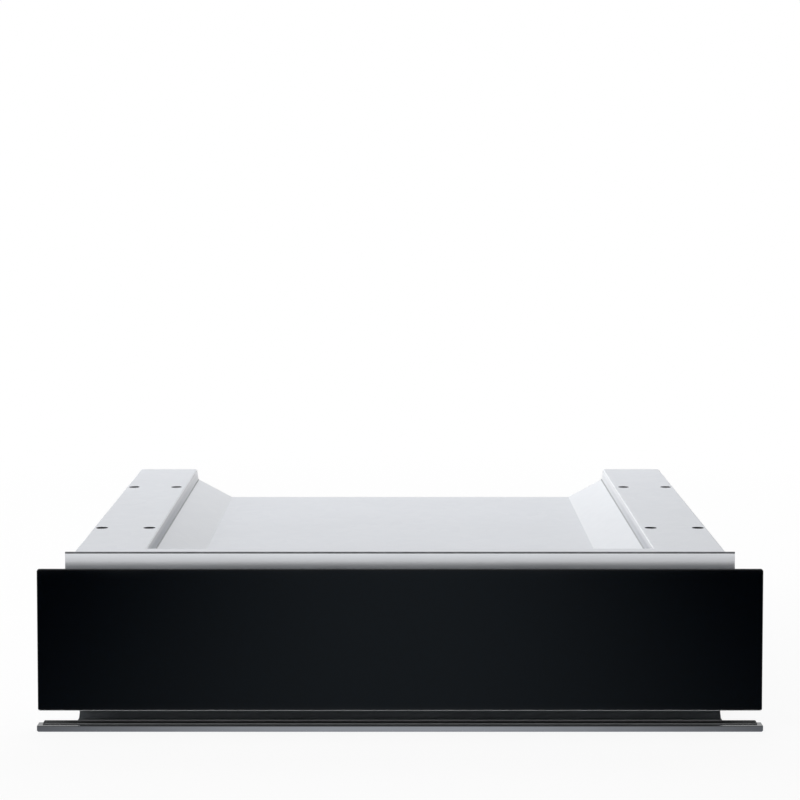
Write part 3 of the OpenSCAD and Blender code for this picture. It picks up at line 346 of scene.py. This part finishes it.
def plinth_sheet():
    """The black coated sheet, in a paler copy of the coat as painted light against the shade under the
    glass. It is matt, and blacker as painted shade, on the strip that lies on the bar, and bare steel,
    brightened as a painted highlight, on the cut edges low in front."""
    # A paler copy of the black coat, as painted light against the shade under the glass
    f = black_coated("plinth_sheet", (0.165, 0.178, 0.19))
    f.set("Specular IOR Level", 0.25)
    height, facing = f.split(f.coordinates())["Z"], f.facing()
    bar_top = top_of("sill_bar")

    def up_to(rises):
        return f.below(height, *(bar_top + rise for rise in rises))

    # Painted shade: the strip blacker where it faces up
    strip = f.times(up_to(STRIP_TOP), f.above(facing["Z"], *STRIP_FACING))
    f.paint(strip, STRIP_PAINTED_SHADE)
    f.roughen(strip, STRIP_ROUGHNESS)
    # Painted highlight on the cut edges low in front, as bare steel
    f.paint(f.times(up_to(BARE_HIGHLIGHT_TOP), f.below(facing["Y"], *BARE_HIGHLIGHT_FACING)), BARE_EDGE_HIGHLIGHT)
    return f


def brushed(name, colour, low, high, stretch=(0.02, 1, 1), grain=2600):
    """Metal with fine brush lines, whose stretch is smallest along the lines."""
    f = Finish(name, colour, (low + high) / 2, metallic=1.0)
    lines = f.noise(grain, 3, stretch)
    f.tint(lines, 0.93, 1.04)
    f.gloss(lines, low, high)
    f.bump(lines, 0.01 * MM, 0.5)
    return f


def brushed_bar():
    """The sill bar's brushed metal, with painted shade that darkens it where it faces up."""
    f = brushed("brushed_bar", (0.27, 0.28, 0.30), 0.08, 0.13)
    # Painted shade on the faces that look up
    f.paint(f.above(f.facing()["Z"], 0.5, 0.7), (0.07, 0.073, 0.078))
    return f


def black_glass():
    """Glass printed black behind, with a ground underside and a matt top edge."""
    f = Finish("black_glass", (0.0004, 0.0013, 0.0028), 0.03)
    f.set("Specular IOR Level", 0.35)
    f.tint(f.noise(8, 2), 0.9, 1.1)
    f.gloss(f.noise(14, 3), 0.025, 0.05)
    upwards = f.facing("Normal")["Z"]
    f.paint(f.below(upwards, -0.5, -0.2), (0.84, 0.85, 0.86))
    f.roughen(f.above(upwards, 0.3, 0.6), 0.9)
    return f


def dark_plate():
    """Dark glass ceramic with fine pale specks."""
    f = Finish("dark_plate", (0.012, 0.014, 0.016), 0.12)
    f.tint(f.cells(900, "Distance"), 2.6, 0.9, 0.05, 0.25)
    f.gloss(f.noise(20, 3), 0.11, 0.13)
    return f


def zinc_steel():
    f = Finish("zinc_steel", (0.66, 0.665, 0.67), 0.34, metallic=1.0)
    f.tint(f.noise(70, 4), 0.9, 1.04)
    f.gloss(f.noise(300, 3, (1, 0.1, 1)), 0.27, 0.42)
    f.bump(f.noise(1500, 2, (1, 0.08, 1)), 0.012 * MM, 0.4)
    return f


def cage_steel():
    f = Finish("cage_steel", (0.60, 0.61, 0.62), 0.22, metallic=1.0)
    f.tint(f.noise(160, 3), 0.85, 1.05)
    f.gloss(f.noise(220, 3), 0.16, 0.3)
    return f


def rubber(name, colour, grain=900):
    f = Finish(name, colour, 0.72)
    f.tint(f.noise(grain / 8, 3), 0.85, 1.25)
    f.gloss(f.noise(grain / 4, 2), 0.62, 0.82)
    f.bump(f.noise(grain, 2), 0.06 * MM, 0.6)
    return f


def plastic(name, colour, roughness, grain=1400):
    f = Finish(name, colour, roughness)
    f.tint(f.noise(45, 3), 0.94, 1.05)
    f.gloss(f.noise(grain / 6, 3), roughness * 0.85, roughness * 1.2)
    f.bump(f.noise(grain, 2), 0.02 * MM, 0.4)
    return f


def knob_metal():
    f = Finish("knob_metal", (0.60, 0.605, 0.61), 0.28, metallic=1.0)
    lines = f.noise(2400, 2, (0.04, 1, 1))
    f.tint(lines, 0.94, 1.03)
    f.gloss(lines, 0.22, 0.36)
    f.bump(lines, 0.008 * MM, 0.5)
    return f


def lamp_amber():
    f = Finish("lamp_amber", (0.75, 0.17, 0.035), 0.18)
    f.set("Coat Weight", 0.4)
    f.tint(f.noise(260, 2), 0.85, 1.15)
    f.gloss(f.noise(400, 2), 0.14, 0.24)
    return f


def copper_mat():
    f = Finish("copper_mat", (0.45, 0.20, 0.08), 0.4)
    f.tint(f.noise(120, 3), 0.8, 1.2)
    f.gloss(f.noise(80, 3), 0.32, 0.5)
    f.bump(f.noise(800, 2), 0.03 * MM, 0.5)
    return f


def mineral_wool():
    f = Finish("mineral_wool", (0.66, 0.58, 0.36), 0.95)
    f.tint(f.noise(500, 6, (1, 0.25, 1)), 0.6, 1.25)
    f.gloss(f.noise(100, 3), 0.88, 1.0)
    f.bump(f.noise(900, 5, (1, 0.3, 1)), 0.6 * MM, 0.9)
    return f


def motor_steel():
    f = Finish("motor_steel", (0.12, 0.13, 0.14), 0.4)
    f.tint(f.noise(50, 3), 0.88, 1.15)
    f.gloss(f.noise(90, 3), 0.34, 0.48)
    f.bump(f.noise(1500, 2), 0.02 * MM, 0.5)
    return f


def cutout_brass():
    f = Finish("cutout_brass", (0.62, 0.48, 0.22), 0.3, metallic=1.0)
    f.tint(f.noise(200, 4), 0.8, 1.08)
    f.gloss(f.noise(260, 3), 0.24, 0.4)
    return f


# One for each material slot of the record
FINISHES = {finish.name: finish.material for finish in (
    galvanised(),
    coated_frame(),
    black_coated(),
    brushed_bar(),
    brushed("stainless", (0.64, 0.645, 0.65), 0.22, 0.32),
    black_glass(),
    dark_plate(),
    zinc_steel(),
    cage_steel(),
    rubber("black_rubber", (0.018, 0.018, 0.019)),
    plastic("white_plastic", (0.74, 0.74, 0.71), 0.42),
    plastic("dark_plastic", (0.022, 0.024, 0.027), 0.4),
    plastic("gloss_black", (0.010, 0.011, 0.012), 0.12, 500),
    plastic("button_white", (0.78, 0.79, 0.80), 0.3),
    knob_metal(),
    lamp_amber(),
    rubber("silicone", (0.25, 0.255, 0.265)),
    rubber("foam_tape", (0.04, 0.04, 0.042), 1600),
    copper_mat(),
    mineral_wool(),
    brushed("heater_steel", (0.22, 0.21, 0.20), 0.32, 0.46, (1, 1, 1), 300),
    motor_steel(),
    brushed("fan_alloy", (0.72, 0.73, 0.74), 0.28, 0.4, (1, 1, 0.1), 500),
    cutout_brass(),
    rubber("grey_lead", (0.13, 0.135, 0.14), 1200),
)}
# Two sheets with a finish of their own
OWN_FINISHES = {"top_cover": cover_sheet().material, "plinth_panel": plinth_sheet().material}

for part in frame["record"]["subparts"]:
    name = part["node"]
    finish = OWN_FINISHES.get(name, FINISHES[part["material_slot"]])
    NODES[name].material_slots[0].material = finish


# Marks on the controls and the heated plate: thin prints, each a closed solid

PRINT = 0.05 * MM


class Print:
    """Collects flat shapes, all as thick as a print, and makes them into one piece."""

    def __init__(self):
        self.vertices, self.faces = [], []

    def prism(self, outline, level):
        """A print over a convex outline, which runs anticlockwise seen from above."""
        start, n = len(self.vertices), len(outline)
        for z in (level, level + PRINT):
            self.vertices += [(x, y, z) for x, y in outline]
        self.faces.append(tuple(start + i for i in reversed(range(n))))
        self.faces.append(tuple(start + n + i for i in range(n)))
        for i in range(n):
            j = (i + 1) % n
            self.faces.append((start + i, start + j, start + n + j, start + n + i))

    def ribbon(self, points, width, level, closed=False):
        """A line along the points. Its width may be a list, one for each point, and its level a function of
        x and y."""
        n = len(points)
        widths = width if isinstance(width, list) else [width] * n
        level_at = level if callable(level) else lambda x, y: level
        start = len(self.vertices)
        for i, (x, y) in enumerate(points):
            before = points[i - 1] if i or closed else points[i]
            after = points[(i + 1) % n] if i < n - 1 or closed else points[i]
            along = Vector((after[0] - before[0], after[1] - before[1])).normalized()
            side = Vector((-along.y, along.x)) * widths[i] / 2
            for sign in (1, -1):
                px, py = x + sign * side.x, y + sign * side.y
                z = level_at(px, py)
                self.vertices += [(px, py, z), (px, py, z + PRINT)]
        low_left, high_left, low_right, high_right = range(4)
        for i in range(n if closed else n - 1):
            a, b = start + 4 * i, start + 4 * ((i + 1) % n)
            self.faces.append((a + high_left, a + high_right, b + high_right, b + high_left))
            self.faces.append((a + low_left, b + low_left, b + low_right, a + low_right))
            self.faces.append((a + low_left, a + high_left, b + high_left, b + low_left))
            self.faces.append((a + low_right, b + low_right, b + high_right, a + high_right))
        if not closed:
            for a, flip in ((start, False), (start + 4 * (n - 1), True)):
                end = (a + low_left, a + low_right, a + high_right, a + high_left)
                self.faces.append(tuple(reversed(end)) if flip else end)

    def figure(self, text, size, place):
        """A plain figure, centred on place, upright for someone in front of the drawer."""
        curve = bpy.data.curves.new("figure", "FONT")
        curve.body = text
        curve.size = size
        curve.align_x = "CENTER"
        curve.align_y = "CENTER"
        curve.extrude = PRINT / 2
        curve.resolution_u = 6
        carrier = new_object("figure", curve)
        bpy.context.view_layer.update()
        depsgraph = bpy.context.evaluated_depsgraph_get()
        mesh = bpy.data.meshes.new_from_object(carrier.evaluated_get(depsgraph))
        start = len(self.vertices)
        x0, y0, z0 = place
        self.vertices += [(x0 + v.co.x, y0 + v.co.y, z0 + v.co.z + PRINT / 2) for v in mesh.vertices]
        self.faces += [tuple(start + i for i in face.vertices) for face in mesh.polygons]
        bpy.data.objects.remove(carrier)
        bpy.data.curves.remove(curve)
        bpy.data.meshes.remove(mesh)

    def piece(self, name, body, slot):
        mesh = bpy.data.meshes.new(name)
        mesh.from_pydata(self.vertices, [], self.faces)
        mesh.materials.append(FINISHES[slot])
        obj = new_object(name, mesh)
        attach(obj, body)


def around(centre, radius, degrees):
    """A point on a dial, clockwise from its far side."""
    angle = math.radians(degrees)
    return centre[0] + radius * math.sin(angle), centre[1] + radius * math.cos(angle)


DIAL_TURN = 270
DIAL_STEPS = 4
FIGURE_GAP, FIGURE_SIZE = 3.2 * MM, 3.2 * MM
WEDGE_GAP = 1.4 * MM
WEDGE_ANGLES = range(24, 259, 6)
WEDGE_THIN, WEDGE_THICK = 0.15 * MM, 0.8 * MM


def make_dial():
    """A scale of five figures round the knob, with a wedge that widens towards the warm end."""
    centre = middle_of("temperature_knob")
    knob_r = half_sizes("temperature_knob")[0]
    top = top_of("control_fascia")
    dial = Print()
    growth = (WEDGE_THICK - WEDGE_THIN) / (len(WEDGE_ANGLES) - 1)
    widths = [WEDGE_THIN + growth * i for i in range(len(WEDGE_ANGLES))]
    dial.ribbon([around(centre, knob_r + WEDGE_GAP, angle) for angle in WEDGE_ANGLES], widths, top)
    for step in range(DIAL_STEPS + 1):
        x, y = around(centre, knob_r + FIGURE_GAP, DIAL_TURN * step / DIAL_STEPS)
        dial.figure(str(step), FIGURE_SIZE, (x, y, top))
    dial.piece("dial_figures", "drawer", "button_white")


NOTCH_DEPTH = 0.8 * MM
# How far in from the knob's rim the line starts and ends
POINTER_INSETS = (10 * MM, 4.5 * MM)
POINTER_WIDTH = 0.8 * MM


def make_pointer():
    """The dark line in the knob's notch."""
    x, y = middle_of("temperature_knob")
    rim = y + half_sizes("temperature_knob")[0]
    floor = top_of("temperature_knob") - NOTCH_DEPTH
    line = Print()
    line.ribbon([(x, rim - inset) for inset in POINTER_INSETS], POINTER_WIDTH, floor)
    line.piece("knob_line", "selector", "gloss_black")


# The button's dish is part of a ball of this radius, whose middle is this high over the button's top
DISH_R, DISH_RISE = 17.6 * MM, 17 * MM
RING_R, RING_ANGLES = 2.4 * MM, range(38, 323, 12)
BAR_START, BAR_STEP, BAR_POINTS = 0.4 * MM, 0.65 * MM, 5
SIGN_WIDTH = 0.5 * MM


def make_button_mark():
    """A broken ring and a bar, printed in the button's dished top."""
    x0, y0 = middle_of("power_button")
    top = top_of("power_button")

    def dish(x, y):
        return top + DISH_RISE - math.sqrt(DISH_R ** 2 - (x - x0) ** 2 - (y - y0) ** 2)

    mark = Print()
    mark.ribbon([around((x0, y0), RING_R, angle) for angle in RING_ANGLES], SIGN_WIDTH, dish)
    mark.ribbon([(x0, y0 + BAR_START + BAR_STEP * i) for i in range(BAR_POINTS)], SIGN_WIDTH, dish)
    mark.piece("button_ring", "button", "gloss_black")


CORNER_R, CORNER_STEPS = 10 * MM, 6
# Each line's distance in from the plate's edge, and its width
PLATE_LINES = ((14 * MM, 1.0 * MM), (17 * MM, 0.4 * MM))
DOT_COLUMNS, DOT_ROWS, DOT_PITCH = 7, 5, 48 * MM
DOT_R, DOT_ANGLES = 0.9 * MM, range(0, 360, 30)


def rounded_loop(half_x, half_y, centre):
    loop = []
    for sx, sy, start in ((1, 1, 0), (1, -1, 90), (-1, -1, 180), (-1, 1, 270)):
        corner = centre[0] + sx * (half_x - CORNER_R), centre[1] + sy * (half_y - CORNER_R)
        loop += [around(corner, CORNER_R, start + 90 * i / CORNER_STEPS) for i in range(CORNER_STEPS + 1)]
    return loop


def make_plate_marks():
    """Printed lines round the heated part of the glass plate, and a grid of small dots inside them."""
    centre, top = middle_of("glass_plate"), top_of("glass_plate")
    half_x, half_y = half_sizes("glass_plate")
    lines = Print()
    for inset, width in PLATE_LINES:
        lines.ribbon(rounded_loop(half_x - inset, half_y - inset, centre), width, top, closed=True)
    for i in range(DOT_COLUMNS):
        for j in range(DOT_ROWS):
            x = centre[0] + (i - (DOT_COLUMNS - 1) / 2) * DOT_PITCH
            y = centre[1] + (j - (DOT_ROWS - 1) / 2) * DOT_PITCH
            lines.prism([around((x, y), DOT_R, -angle) for angle in DOT_ANGLES], top)
    lines.piece("plate_lines", "drawer", "silicone")


make_dial()
make_pointer()
make_button_mark()
make_plate_marks()


# Studio

def surface(name, size, height):
    """A flat square that faces up, with a material of its own that has no shader yet. Gives the square, the
    material's nodes and the socket that its shader goes to."""
    mesh = bpy.data.meshes.new(name)
    half = size / 2
    corners = [(-half, -half, 0), (half, -half, 0), (half, half, 0), (-half, half, 0)]
    mesh.from_pydata(corners, [], [(0, 1, 2, 3)])
    obj = new_object(name, mesh)
    obj.location = (0, 0, height)
    material = bpy.data.materials.new(name)
    mesh.materials.append(material)
    n = Nodes(material)
    n.tree.nodes.clear()
    return obj, n, n.add("ShaderNodeOutputMaterial").inputs["Surface"]


def mix_shaders(n, share, first, second):
    """Goes from the first shader to the second as the share goes from 0 to 1."""
    mix = n.add("ShaderNodeMixShader")
    for source, socket in zip((share, first.outputs[0], second.outputs[0]), mix.inputs):
        n.link(source, socket)
    return mix.outputs[0]


def seen_directly(n):
    """1 where a camera, glossy or transmission ray lands, and 0 for the rays that light things."""
    path = n.add("ShaderNodeLightPath").outputs
    seen = n.calculate("MAXIMUM", path["Is Camera Ray"], path["Is Glossy Ray"])
    return n.calculate("MAXIMUM", seen, path["Is Transmission Ray"])


FLOOR_SIZE = 14.0
FLOOR_COLOUR = (0.93, 0.93, 0.93, 1.0)
# The share of plain white in it where it is seen, which grows to 1 from near to far
FLOOR_WHITE = 0.9
FLOOR_NEAR, FLOOR_FAR = 0.5, 1.6


def make_floor():
    """A pale floor that keeps the object's shadow and turns to plain white further out."""
    floor, n, output = surface("floor", FLOOR_SIZE, 0)
    diffuse = n.add("ShaderNodeBsdfDiffuse")
    diffuse.inputs["Color"].default_value = FLOOR_COLOUR
    white = n.add("ShaderNodeEmission")
    length = n.add("ShaderNodeVectorMath", operation="LENGTH")
    n.link(n.coordinates(), length.inputs[0])
    fade = n.spread(length.outputs["Value"], FLOOR_WHITE, 1.0, FLOOR_NEAR, FLOOR_FAR, smooth=True)
    n.link(mix_shaders(n, n.times(fade, seen_directly(n)), diffuse, white), output)


# A dark sheet lies on the floor in front, and only reflections show it: it keeps the glass front deep.
# Its paler strip, next to the object, is what the sill bar mirrors. Both are darker towards their ends.
CARD_SIZE = 2.4
CARD_LIFT = 0.4 * MM
# Along Y: where the sheet starts, where its strip ends, where it ends itself, and how soft these edges are
CARD_NEAR, CARD_STRIP, CARD_FAR = -0.262, -0.345, -1.05
CARD_SOFT = 0.02
# Along X: where the middle's colour ends and the ends' colour starts
CARD_MIDDLE_REACH, CARD_ENDS_REACH = 0.02, 0.42
CARD_MIDDLE = (0.27, 0.32, 0.365, 1.0)
CARD_ENDS = (0.015, 0.017, 0.02, 1.0)
STRIP_MIDDLE = (0.95, 0.97, 1.0, 1.0)
STRIP_ENDS = (0.20, 0.205, 0.215, 1.0)


def make_card():
    card, n, output = surface("front_sheet", CARD_SIZE, CARD_LIFT)
    for ray in ("camera", "diffuse", "transmission", "shadow", "volume_scatter"):
        setattr(card, "visible_" + ray, False)
    place = n.split(n.coordinates())

    def step(source, start, end):
        return n.spread(source, 0.0, 1.0, start, end, smooth=True)

    outwards = step(n.size_of(place["X"]), CARD_MIDDLE_REACH, CARD_ENDS_REACH)
    strip = step(place["Y"], CARD_STRIP - CARD_SOFT / 2, CARD_STRIP + CARD_SOFT / 2)
    plain_colour = n.blend(outwards, CARD_MIDDLE, CARD_ENDS)
    strip_colour = n.blend(outwards, STRIP_MIDDLE, STRIP_ENDS)
    sheet = n.add("ShaderNodeEmission")
    n.link(n.blend(strip, plain_colour, strip_colour), sheet.inputs["Color"])
    inside = n.times(step(place["Y"], CARD_NEAR + CARD_SOFT, CARD_NEAR),
                     step(place["Y"], CARD_FAR - CARD_SOFT, CARD_FAR + CARD_SOFT))
    n.link(mix_shaders(n, inside, n.add("ShaderNodeBsdfTransparent"), sheet), output)


# The world's strength as light, and in mirrors, at its left and its right, and the X of its directions
# between which it changes
LIT_LEFT, LIT_RIGHT, LIT_FROM, LIT_TO = 0.42, 0.02, -0.6, 0.6
MIRRORED_LEFT, MIRRORED_RIGHT, MIRRORED_FROM, MIRRORED_TO = 1.0, 0.06, 0.1, 0.7


def make_world():
    """White where it is seen. As light it is dimmer, and it fades towards the right."""
    world = bpy.data.worlds.new("studio")
    bpy.context.scene.world = world
    n = Nodes(world)
    background = n.tree.nodes["Background"].inputs
    background["Color"].default_value = (1, 1, 1, 1)
    to_right = n.split(n.coordinates("Generated"))["X"]
    path = n.add("ShaderNodeLightPath").outputs
    lit = n.spread(to_right, LIT_LEFT, LIT_RIGHT, LIT_FROM, LIT_TO)
    mirrored = n.spread(to_right, MIRRORED_LEFT, MIRRORED_RIGHT, MIRRORED_FROM, MIRRORED_TO)
    strength = n.spread(path["Is Glossy Ray"], lit, mirrored, 0.0, 1.0)
    for ray in ("Is Camera Ray", "Is Transmission Ray"):
        strength = n.spread(path[ray], strength, 1.0, 0.0, 1.0)
    n.link(strength, background["Strength"])


LIGHTS_AIM = (0, 0, 0.07)
# Each soft light's place, its size and its power in watts
SOFTBOXES = {
    "top": ((0, 0.1, 2.8), (0.9, 0.9), 22),
    "key": ((-2.4, -0.9, 1.5), (1.6, 1.2), 20),
    "back": ((0, 0.95, 1.15), (1.6, 0.6), 10),
}


def make_lights():
    for name, (place, size, watts) in SOFTBOXES.items():
        light = bpy.data.lights.new(name, "AREA")
        light.shape = "RECTANGLE"
        light.size, light.size_y = size
        light.energy = watts
        lamp = new_object(name, light)
        lamp.location = place
        aim = Vector(LIGHTS_AIM) - Vector(place)
        lamp.rotation_euler = aim.to_track_quat("-Z", "Y").to_euler()


# The photograph's place: 2.2 m in front of the drawer's middle and 0.48 m up. It looks down only a little,
# and the shift does the rest, so that upright edges stay nearly upright.
CAMERA_PLACE = (0, -2.2256, 0.4759)
CAMERA_DOWN = math.radians(3.643)
CAMERA_LENS = 108.44
CAMERA_SHIFT = -0.1194


def make_camera():
    camera = bpy.data.cameras.new("camera")
    camera.lens = CAMERA_LENS
    camera.shift_y = CAMERA_SHIFT
    obj = new_object("camera", camera)
    obj.location = CAMERA_PLACE
    obj.rotation_euler = (math.pi / 2 - CAMERA_DOWN, 0, 0)
    bpy.context.scene.camera = obj


make_floor()
make_card()
make_world()
make_lights()
make_camera()
bpy.context.scene.view_settings.view_transform = "Standard"
